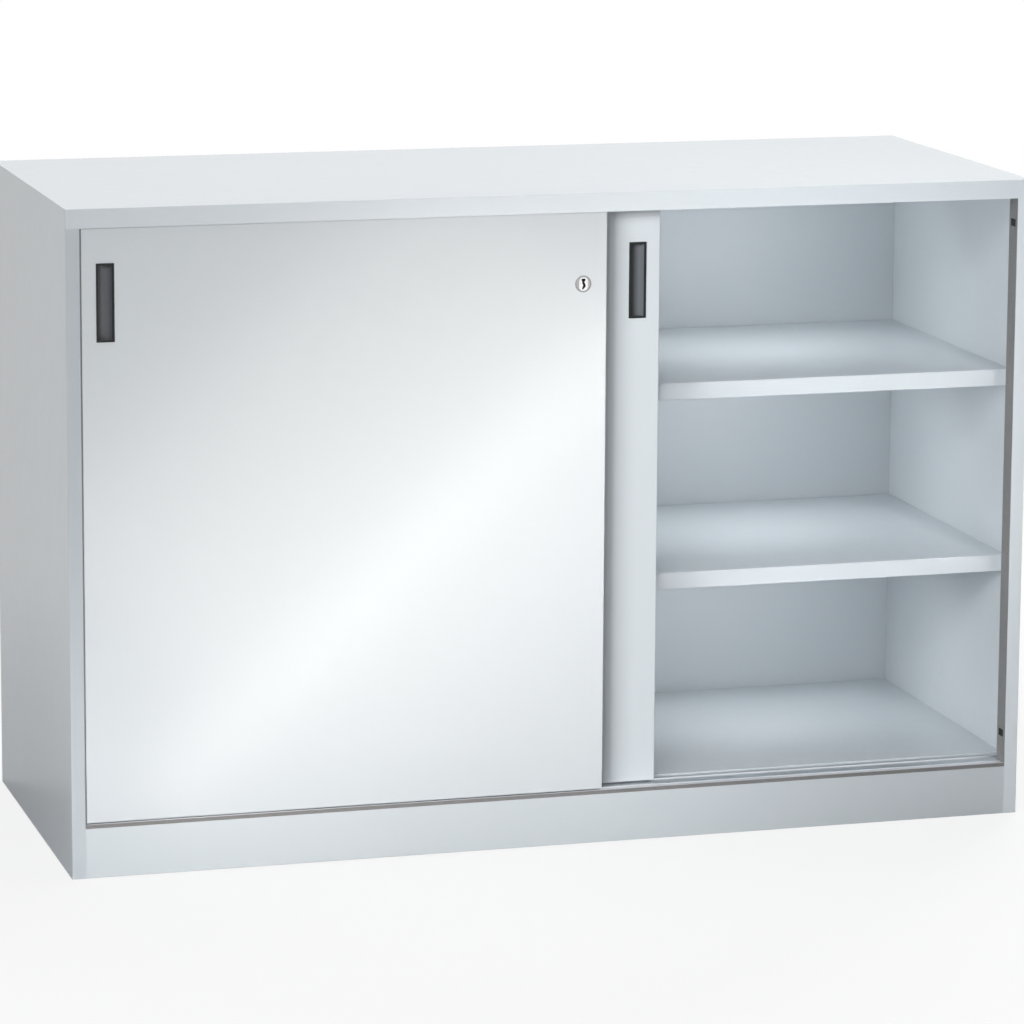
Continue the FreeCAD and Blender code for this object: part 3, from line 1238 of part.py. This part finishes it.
os.makedirs("parts", exist_ok=True)
for body in pieces:
    body.Shape.exportStep(f"parts/{body.Label}.step")
    box = body.Shape.BoundBox
    print(f"{body.Label}: {len(body.Shape.Solids)} solid(s), {body.Shape.Volume:.0f} mm3, "
          f"x {box.XMin:.1f} {box.XMax:.1f}, y {box.YMin:.1f} {box.YMax:.1f}, "
          f"z {box.ZMin:.1f} {box.ZMax:.1f}")
print(f"{len(pieces)} pieces")
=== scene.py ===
import json
import math

import bpy
from mathutils import Matrix, Vector


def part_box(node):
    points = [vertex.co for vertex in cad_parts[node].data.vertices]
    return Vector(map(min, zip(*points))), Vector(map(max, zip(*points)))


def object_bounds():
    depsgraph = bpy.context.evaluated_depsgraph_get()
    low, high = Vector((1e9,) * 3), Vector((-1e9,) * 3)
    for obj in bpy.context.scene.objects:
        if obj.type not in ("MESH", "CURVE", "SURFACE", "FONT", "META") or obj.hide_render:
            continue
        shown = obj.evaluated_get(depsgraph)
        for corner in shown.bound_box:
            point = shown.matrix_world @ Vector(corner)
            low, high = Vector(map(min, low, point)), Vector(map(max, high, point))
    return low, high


# Sliding door cabinet in light grey powder-coated steel: materials, studio and camera.
# Metres, in the same frame as the CAD: X along the front, Y towards the back, Z up.

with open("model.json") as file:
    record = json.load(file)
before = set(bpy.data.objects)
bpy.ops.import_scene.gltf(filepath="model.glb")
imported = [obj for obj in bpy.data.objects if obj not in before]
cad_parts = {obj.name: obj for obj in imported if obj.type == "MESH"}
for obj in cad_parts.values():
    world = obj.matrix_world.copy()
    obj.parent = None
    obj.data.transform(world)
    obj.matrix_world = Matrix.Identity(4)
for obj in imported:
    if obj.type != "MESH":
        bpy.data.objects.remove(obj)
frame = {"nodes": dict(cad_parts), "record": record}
cad_box = [list(corner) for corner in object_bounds()]
(LEFT, FRONT, FOOT), (RIGHT, BACK, TOP) = cad_box
MIDDLE = ((LEFT + RIGHT) / 2, (FRONT + BACK) / 2, (FOOT + TOP) / 2)
scene = bpy.context.scene

WHITE = (1.0, 1.0, 1.0, 1.0)
MIX_SHARE = 0                                 # first socket of every mix node
MIX_FIRST, MIX_SECOND, MIX_RESULT = 6, 7, 2   # colour sockets of a mix node
SHADER_FIRST, SHADER_SECOND = 1, 2            # shader sockets of a mix-shader node
USUAL = (0.3, 0.7)                            # values that most of a noise texture has
BEVEL_SAMPLES = 4


# ---------------------------------------------------------------- colours

def srgb(red, green, blue):
    """Linear colour of an 8-bit screen colour, by the sRGB curve."""
    def linear(channel):
        part = channel / 255
        return part / 12.92 if part <= 0.04045 else ((part + 0.055) / 1.055) ** 2.4
    return (linear(red), linear(green), linear(blue), 1.0)


def shaded(colour, factor):
    """The colour made darker or lighter by a factor."""
    return tuple(min(1.0, channel * factor) for channel in colour[:3]) + (1.0,)


# ---------------------------------------------------------------- node trees

class Graph:
    """A node tree, built by small steps."""

    def __init__(self, tree, output_kind):
        self.tree = tree
        self.tree.nodes.clear()
        self.output = self.add(output_kind)
        self.place = self.add("ShaderNodeTexCoord")

    def add(self, kind, **settings):
        node = self.tree.nodes.new(kind)
        for key, setting in settings.items():
            setattr(node, key, setting)
        return node

    def link(self, source, out, target, into):
        self.tree.links.new(source.outputs[out], target.inputs[into])

    def spread(self, source, out, low, high, over=(0.0, 1.0), **settings):
        """Map a grey value's range, over, onto low to high."""
        node = self.add("ShaderNodeMapRange", **settings)
        for socket, number in (("From Min", over[0]), ("From Max", over[1]),
                               ("To Min", low), ("To Max", high)):
            node.inputs[socket].default_value = number
        self.link(source, out, node, "Value")
        return node

    def maths(self, operation, *terms):
        """Maths on terms that are numbers, or nodes with the name of their output."""
        node = self.add("ShaderNodeMath", operation=operation)
        for socket, term in enumerate(terms):
            if isinstance(term, tuple):
                self.link(*term, node, socket)
            else:
                node.inputs[socket].default_value = term
        return node

    def sight(self):
        """Two masks: rays that look straight or through glass, and those with mirrored ones."""
        ray = self.add("ShaderNodeLightPath")
        straight = self.maths("MAXIMUM", (ray, "Is Camera Ray"), (ray, "Is Transmission Ray"))
        seen = self.maths("MAXIMUM", (straight, "Value"), (ray, "Is Glossy Ray"))
        return straight, seen

    def blend(self, factor, out, first, second):
        """Mix of two colours by a grey value; each colour is a value or a mix node."""
        node = self.add("ShaderNodeMix", data_type="RGBA")
        self.link(factor, out, node, MIX_SHARE)
        for socket, colour in ((MIX_FIRST, first), (MIX_SECOND, second)):
            if isinstance(colour, tuple):
                node.inputs[socket].default_value = colour
            else:
                self.link(colour, MIX_RESULT, node, socket)
        return node


class Finish(Graph):
    """A material with one principled shader."""

    def __init__(self, name):
        self.material = bpy.data.materials.new(name)
        self.material.use_nodes = True
        super().__init__(self.material.node_tree, "ShaderNodeOutputMaterial")
        self.shader = self.add("ShaderNodeBsdfPrincipled")
        self.link(self.shader, "BSDF", self.output, "Surface")

    def noise(self, scale, detail=2.0, rough=0.5, stretch=None):
        """Noise in the object's metres; stretch is a scale for each axis, for grain."""
        node = self.add("ShaderNodeTexNoise")
        node.inputs["Scale"].default_value = scale
        node.inputs["Detail"].default_value = detail
        node.inputs["Roughness"].default_value = rough
        if stretch is None:
            self.link(self.place, "Object", node, "Vector")
        else:
            mapping = self.add("ShaderNodeMapping")
            mapping.inputs["Scale"].default_value = stretch
            self.link(self.place, "Object", mapping, "Vector")
            self.link(mapping, "Vector", node, "Vector")
        return node

    def tint(self, pattern, out, over, first, second):
        """Colour that goes from first to second as the pattern goes over its range."""
        return self.blend(self.spread(pattern, out, 0.0, 1.0, over), "Result", first, second)

    def below_face(self, start, end):
        """0 on a piece's frontmost face, 1 in its recesses, in shares of its depth."""
        parts = self.add("ShaderNodeSeparateXYZ")
        self.link(self.place, "Generated", parts, "Vector")
        return self.spread(parts, "Y", 0.0, 1.0, (start, end))

    def paint(self, colour):
        self.link(colour, MIX_RESULT, self.shader, "Base Color")

    def roughen(self, pattern, out, low, high, over=USUAL):
        self.link(self.spread(pattern, out, low, high, over), "Result", self.shader, "Roughness")

    def soft_edge(self, radius):
        node = self.add("ShaderNodeBevel", samples=BEVEL_SAMPLES)
        node.inputs["Radius"].default_value = radius
        return node

    def bump(self, pattern, strength, distance, before=None):
        node = self.add("ShaderNodeBump")
        node.inputs["Strength"].default_value = strength
        node.inputs["Distance"].default_value = distance
        self.link(pattern, "Fac", node, "Height")
        if before is not None:
            self.link(before, "Normal", node, "Normal")
        return node

    def skin(self, relief):
        self.link(relief, "Normal", self.shader, "Normal")

    def set(self, **sockets):
        """Set the shader's own sockets; an underscore in a name stands for a space."""
        for name, number in sockets.items():
            self.shader.inputs[name.replace("_", " ")].default_value = number


# ---------------------------------------------------------------- materials

def powder_coat(name, colour, roughness):
    """Fine-textured powder coat on sheet steel: faint clouds, a finer mottle and orange peel."""
    g = Finish(name)
    cloud = g.noise(scale=2.3, detail=3.0)
    mottle = g.noise(scale=38.0, detail=4.0, rough=0.6)
    peel = g.noise(scale=620.0, detail=2.0, rough=0.55)
    dull, bright, speckled = (shaded(colour, factor) for factor in (0.985, 1.01, 0.99))
    clouded = g.tint(cloud, "Fac", USUAL, dull, bright)
    g.paint(g.tint(mottle, "Fac", USUAL, clouded, speckled))
    g.roughen(mottle, "Fac", roughness - 0.015, roughness + 0.03)
    g.set(Specular_IOR_Level=0.75, Coat_Weight=0.35, Coat_Roughness=0.22)
    orange_peel = g.bump(peel, strength=0.03, distance=0.0002)
    g.skin(g.bump(cloud, strength=0.02, distance=0.004, before=orange_peel))
    return g.material


def moulded(name, colour, roughness, grain=900.0, shine=0.5, painted_recess_tone=None):
    """Moulded plastic or rubber with a fine spark-eroded grain, and a painted highlight: the tone
    given for the recess is painted into its recesses.
    """
    g = Finish(name)
    sparks = g.noise(scale=grain, detail=2.0)
    smear = g.noise(scale=60.0, detail=3.0)
    dark, light = (shaded(colour, factor) for factor in (0.86, 1.16))
    tone = g.tint(sparks, "Fac", USUAL, dark, light)
    # Painted highlight: the recesses get the lighter recess tone, which stands in for light falling
    # into them.
    if painted_recess_tone is not None:
        tone = g.blend(g.below_face(start=0.07, end=0.2), "Result", tone, painted_recess_tone)
    g.paint(tone)
    g.roughen(smear, "Fac", roughness - 0.05, roughness + 0.07)
    g.set(Specular_IOR_Level=shine)
    g.skin(g.bump(sparks, strength=0.25, distance=0.00012, before=g.soft_edge(0.0005)))
    return g.material


def drawn_metal(name, colour, roughness, along, spread=0.1, painted_recess_tone=None):
    """Bare metal with a fine drawn grain along one axis, and painted shade: the tone given for the
    recess is painted into its recesses.
    """
    g = Finish(name)
    across_grain, along_grain = 1100.0, 9.0
    stretch = tuple(along_grain if axis == along else across_grain for axis in "XYZ")
    lines = g.noise(scale=1.0, detail=3.0, stretch=stretch)
    cloud = g.noise(scale=16.0, detail=3.0)
    dark, light, tarnished = (shaded(colour, factor) for factor in (0.88, 1.06, 0.8))
    streaks = g.tint(lines, "Fac", (0.25, 0.75), dark, light)
    tarnish = g.spread(cloud, "Fac", 0.0, 0.25, over=(0.4, 0.8))
    tone = g.blend(tarnish, "Result", streaks, tarnished)
    # Painted shade: the recesses get the dark recess tone, which stands in for the shade inside
    # them.
    if painted_recess_tone is not None:
        tone = g.blend(g.below_face(start=0.005, end=0.012), "Result", tone, painted_recess_tone)
    g.paint(tone)
    g.roughen(lines, "Fac", roughness - spread / 2, roughness + spread / 2)
    g.set(Metallic=1.0)
    g.skin(g.bump(lines, strength=0.12, distance=0.00008, before=g.soft_edge(0.0004)))
    return g.material


def zinc_plate(name, colour, roughness):
    """Zinc-plated steel with a faint crystal pattern and some dirt."""
    g = Finish(name)
    crystals = g.add("ShaderNodeTexVoronoi", feature="F1")
    crystals.inputs["Scale"].default_value = 130.0
    g.link(g.place, "Object", crystals, "Vector")
    dirt = g.noise(scale=24.0, detail=4.0)
    crystal = (0.0, 0.6)
    light, dark, dirty = (shaded(colour, factor) for factor in (1.05, 0.86, 0.75))
    flakes = g.tint(crystals, "Distance", crystal, light, dark)
    soil = g.spread(dirt, "Fac", 0.0, 0.3, over=(0.45, 0.75))
    g.paint(g.blend(soil, "Result", flakes, dirty))
    g.roughen(crystals, "Distance", roughness - 0.06, roughness + 0.08, over=crystal)
    g.set(Metallic=1.0)
    g.skin(g.soft_edge(0.0004))
    return g.material


zinc = zinc_plate("zinc_plated_steel", srgb(186, 190, 193), roughness=0.42)
finishes = {
    "carcass_paint": powder_coat("powder_coat_light_grey", srgb(206, 213, 218), roughness=0.34),
    "door_paint": powder_coat("powder_coat_doors", srgb(212, 218, 222), roughness=0.3),
    "trim_plastic": moulded("dark_trim_plastic", srgb(146, 145, 145), roughness=0.55),
    # The handle's trough is painted a lighter grey than its rim: a painted highlight for light in
    # the trough.
    "handle_plastic": moulded("black_handle_plastic", srgb(26, 28, 30), roughness=0.4,
                              shine=0.3, painted_recess_tone=srgb(98, 101, 104)),
    "guide_plastic": moulded("black_guide_plastic", srgb(34, 34, 36), roughness=0.5),
    "buffer_rubber": moulded("buffer_rubber", srgb(20, 20, 21), roughness=0.62, grain=500.0),
    "roller_plastic": moulded("white_roller_plastic", srgb(222, 220, 212), roughness=0.3),
    "track_aluminium": drawn_metal("track_aluminium", srgb(226, 229, 233), roughness=0.42,
                                   along="X", spread=0.06),
    "lock_nickel": drawn_metal("lock_nickel", srgb(156, 157, 158), roughness=0.42,
                               along="Z", spread=0.06),
    "fastener_steel": drawn_metal("fastener_steel", srgb(176, 178, 181), roughness=0.34,
                                  along="Z"),
    "zinc_steel": zinc,
    "lock_steel": zinc,
}
own_finishes = {
    # The lock plug's keyway is painted near black: painted shade in the keyway.
    "lock_plug": drawn_metal("lock_plug_nickel", srgb(206, 208, 210), roughness=0.36, along="Z",
                             spread=0.06, painted_recess_tone=srgb(18, 19, 20)),
    # The bottom trim is a darker grey than the trim plastic: part dark plastic, part painted shade
    # for the gap under the doors.
    "bottom_trim": moulded("dark_strip_plastic", srgb(126, 125, 125), roughness=0.55),
}

slot_of = {part["node"]: part["material_slot"] for part in frame["record"]["subparts"]}
for name, thing in frame["nodes"].items():
    thing.data.materials.clear()
    thing.data.materials.append(own_finishes.get(name, finishes[slot_of[name]]))


# ---------------------------------------------------------------- floor and surroundings

HALF_FLOOR = 30.0
FLOOR_DROP = 0.0006         # under the cabinet's foot, so that the two faces don't flicker
LIT_TONE = (0.5, 0.51, 0.52, 1.0)       # floor tone that bounces light onto the object
SHOWN_TONE = (0.92, 0.92, 0.925, 1.0)   # floor tone that is seen
SHADOW_REACH = (0.9, 2.3)   # the floor turns from shaded to plain white over these distances
NEAR_WHITE = 0.8            # share of plain white in the shaded part


def pale_floor():
    """Pale floor that keeps the object's soft shadow and is plain white farther off."""
    g = Finish("pale_floor")
    g.set(Roughness=0.8, Specular_IOR_Level=0.1)
    straight, seen = g.sight()
    g.paint(g.blend(seen, "Value", LIT_TONE, SHOWN_TONE))
    distance = g.add("ShaderNodeVectorMath", operation="LENGTH")
    g.link(g.place, "Object", distance, "Vector")
    far = g.spread(distance, "Value", 0.0, 1.0, SHADOW_REACH, interpolation_type="SMOOTHSTEP")
    near_white = g.maths("MULTIPLY", (straight, "Value"), NEAR_WHITE)
    g.link(near_white, "Value", far, "To Min")
    white_share = g.maths("MULTIPLY", (far, "Result"), (seen, "Value"))
    white = g.add("ShaderNodeEmission")
    white.inputs["Color"].default_value = WHITE
    mix = g.add("ShaderNodeMixShader")
    g.link(white_share, "Value", mix, MIX_SHARE)
    g.link(g.shader, "BSDF", mix, SHADER_FIRST)
    g.link(white, "Emission", mix, SHADER_SECOND)
    g.link(mix, "Shader", g.output, "Surface")
    return g.material


def studio_floor():
    """Large flat floor just under the cabinet's foot."""
    mesh = bpy.data.meshes.new("studio_floor")
    corners = [(x * HALF_FLOOR, y * HALF_FLOOR, 0) for x, y in ((-1, -1), (1, -1), (1, 1), (-1, 1))]
    mesh.from_pydata(corners, [], [(0, 1, 2, 3)])
    mesh.materials.append(pale_floor())
    sheet = bpy.data.objects.new("studio_floor", mesh)
    sheet.location.z = -FLOOR_DROP
    scene.collection.objects.link(sheet)
    return sheet


floor = studio_floor()

SKY_COLOUR = (0.93, 0.965, 1.0, 1.0)
SKY_STRENGTH = (0.07, 0.11)      # from below the horizon to overhead
SKY_HEIGHTS = (-0.3, 0.9)


def soft_sky():
    """World that gives a faint sky light, and is plain white where it is looked at."""
    world = bpy.data.worlds.new("studio")
    world.use_nodes = True
    g = Graph(world.node_tree, "ShaderNodeOutputWorld")
    heights = g.add("ShaderNodeSeparateXYZ")
    g.link(g.place, "Generated", heights, "Vector")
    soft = g.add("ShaderNodeBackground")
    soft.inputs["Color"].default_value = SKY_COLOUR
    g.link(g.spread(heights, "Z", *SKY_STRENGTH, over=SKY_HEIGHTS), "Result", soft, "Strength")
    plain = g.add("ShaderNodeBackground")
    plain.inputs["Color"].default_value = WHITE
    _, seen = g.sight()
    choose = g.add("ShaderNodeMixShader")
    g.link(seen, "Value", choose, MIX_SHARE)
    g.link(soft, "Background", choose, SHADER_FIRST)
    g.link(plain, "Background", choose, SHADER_SECOND)
    g.link(choose, "Shader", g.output, "Surface")
    return world


scene.world = soft_sky()


# ---------------------------------------------------------------- lamps

def lit_pieces(name, pieces):
    """Collection of the pieces that a lamp's light is limited to."""
    group = bpy.data.collections.new(name)
    for piece in pieces:
        group.objects.link(frame["nodes"][piece])
    return group


REAR_DOOR = frame["record"]["behaviour"]["bodies"]["right_door"]
SHELVES = ["upper_shelf", "lower_shelf"]
NOT_NEAR_FRONT_DOOR = REAR_DOOR + SHELVES + ["left_side_panel"]
rear_door = lit_pieces("lit_rear_door", REAR_DOOR)
right_wall = lit_pieces("lit_right_wall", ["right_side_panel"])
shelves = lit_pieces("lit_shelves", SHELVES)
top_front = lit_pieces("lit_fascia", ["top_panel"])
the_rest = lit_pieces("lit_without_rear_door",
                      [piece for piece in frame["nodes"] if piece not in REAR_DOOR])
front_door_side = lit_pieces("lit_around_front_door",
                             [piece for piece in frame["nodes"]
                              if piece not in NOT_NEAR_FRONT_DOOR])


def softbox(name, where, aim, size, watts, roll=0.0, spread=180.0, mirrored=False, only=None,
            colour=WHITE[:3]):
    """Rectangular lamp aimed at a point and hidden from the camera; angles in degrees.

    Only the pieces in the collection named by only are lit by it, or all of them without one.
    """
    lamp = bpy.data.lights.new(name, "AREA")
    lamp.shape = "RECTANGLE"
    lamp.size, lamp.size_y = size
    lamp.energy = watts
    lamp.color = colour
    lamp.spread = math.radians(spread)
    facing = (Vector(aim) - Vector(where)).to_track_quat("-Z", "Y").to_matrix().to_4x4()
    rolled = Matrix.Rotation(math.radians(roll), 4, "Z")
    thing = bpy.data.objects.new(name, lamp)
    thing.matrix_world = Matrix.Translation(where) @ facing @ rolled
    thing.visible_camera = False
    thing.visible_glossy = mirrored
    if only:
        thing.light_linking.receiver_collection = only
    scene.collection.objects.link(thing)


# The studio: large lamps overhead, in front at the left, and behind at the right.
softbox("overhead", where=(0.0, 0.0, 3.6), aim=(0.0, 0.0, 0.0), size=(3.0, 2.4), watts=52.0,
        mirrored=True)
softbox("high_left", where=(-2.6, -4.4, 3.2), aim=MIDDLE, size=(2.0, 1.5), watts=111.0,
        mirrored=True)
softbox("rear_right", where=(3.6, 4.2, 2.4), aim=MIDDLE, size=(2.4, 2.0), watts=236.0)

# Two slanted strips in front of the left door, whose mirror image is the bright diagonal on it.
DIAGONAL = -47.6                # roll of both strips
WARM = (1.0, 0.945, 0.885)      # keeps the highlight neutral on the bluish paint
softbox("band", where=(-0.155, FRONT - 0.3, 0.4), aim=(-0.155, FRONT, 0.4), size=(0.11, 1.1),
        watts=0.72, roll=DIAGONAL, mirrored=True, only=front_door_side, colour=WARM)
softbox("band_wide", where=(-0.23, FRONT - 0.54, 0.58), aim=(-0.23, FRONT, 0.58),
        size=(0.4, 0.9), watts=1.48, roll=DIAGONAL, mirrored=True, only=front_door_side,
        colour=WARM)

# From far on the left, so that the front door shades the near part of the rear door.
softbox("rear_door_left", where=(-4.0, FRONT - 3.6, 2.0), aim=(0.12, FRONT + 0.03, 0.6),
        size=(2.9, 1.6), watts=295.0, only=rear_door)

# Grazing from far on the left along the shelves' lips, and from the middle onto the fascia.
softbox("lips", where=(-5.2, FRONT - 1.9, 0.65), aim=(0.45, FRONT + 0.06, 0.55),
        size=(1.6, 1.0), watts=380.0, only=shelves)
softbox("fascia", where=(0.27, FRONT - 0.9, TOP - 0.25), aim=(0.27, FRONT, TOP - 0.03),
        size=(0.3, 0.3), watts=2.4, only=top_front)

# Low lamps for the front door's lower corners and the plinth.
softbox("low_left", where=(-0.85, FRONT - 0.42, 0.11), aim=(-0.62, FRONT, 0.16),
        size=(0.5, 0.08), watts=0.82, only=the_rest)
softbox("low_right", where=(0.08, FRONT - 0.42, 0.11), aim=(0.05, FRONT, 0.14),
        size=(0.4, 0.08), watts=0.42, only=the_rest)
softbox("low_front", where=(0.0, FRONT - 1.0, 0.06), aim=(0.0, FRONT, 0.05), size=(1.6, 0.06),
        watts=1.35, only=the_rest)

# The open half has a lamp for its right wall, a narrow beam, and a lamp above each shelf and the
# floor, in the middle of the compartment.
softbox("inner_wall", where=(-0.6, FRONT - 1.2, 0.9), aim=(RIGHT - 0.005, FRONT + 0.2, 0.5),
        size=(0.4, 0.4), watts=10.5, only=right_wall)
softbox("grid_high", where=(0.9, -4.4, 3.1), aim=(0.44, 0.0, 0.5), size=(0.5, 0.5), watts=0.72,
        spread=14.0, only=the_rest)
BAY_X, BAY_LAMP_Y, BAY_AIM_Y = 0.4, 0.0, 0.14
for name, height, shelf, watts in (("bay_top", 0.93, "upper_shelf", 0.57),
                                   ("bay_mid", 0.66, "lower_shelf", 0.58),
                                   ("bay_low", 0.36, "floor_panel", 0.52)):
    shelf_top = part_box(shelf)[1].z
    softbox(name, where=(BAY_X, BAY_LAMP_Y, height), aim=(BAY_X, BAY_AIM_Y, shelf_top),
            size=(0.36, 0.03), watts=watts)


# ---------------------------------------------------------------- camera

# Fitted so that the cabinet's outer corners lie where the photograph has them.
EYE = Vector((-1.9716, -6.8324, 1.8741))
yaw = math.radians(16.177)      # to the right of straight ahead
pitch = math.radians(9.978)     # downwards
tilt = math.radians(0.329)      # about the line of sight
forward = Vector((math.sin(yaw) * math.cos(pitch), math.cos(yaw) * math.cos(pitch),
                  -math.sin(pitch)))
level_right = Vector((math.cos(yaw), -math.sin(yaw), 0.0))
level_up = level_right.cross(forward)
right = level_right * math.cos(tilt) + level_up * math.sin(tilt)
up = level_up * math.cos(tilt) - level_right * math.sin(tilt)

lens = bpy.data.cameras.new("camera")
lens.sensor_width = 36.0
lens.lens = 162.4
lens.shift_y = -0.1
lens.clip_end = 200.0
camera = bpy.data.objects.new("camera", lens)
camera.matrix_world = (Matrix.Translation(EYE)
                       @ Matrix((right, up, -forward)).transposed().to_4x4())
scene.collection.objects.link(camera)
scene.camera = camera

scene.view_settings.view_transform = "Standard"
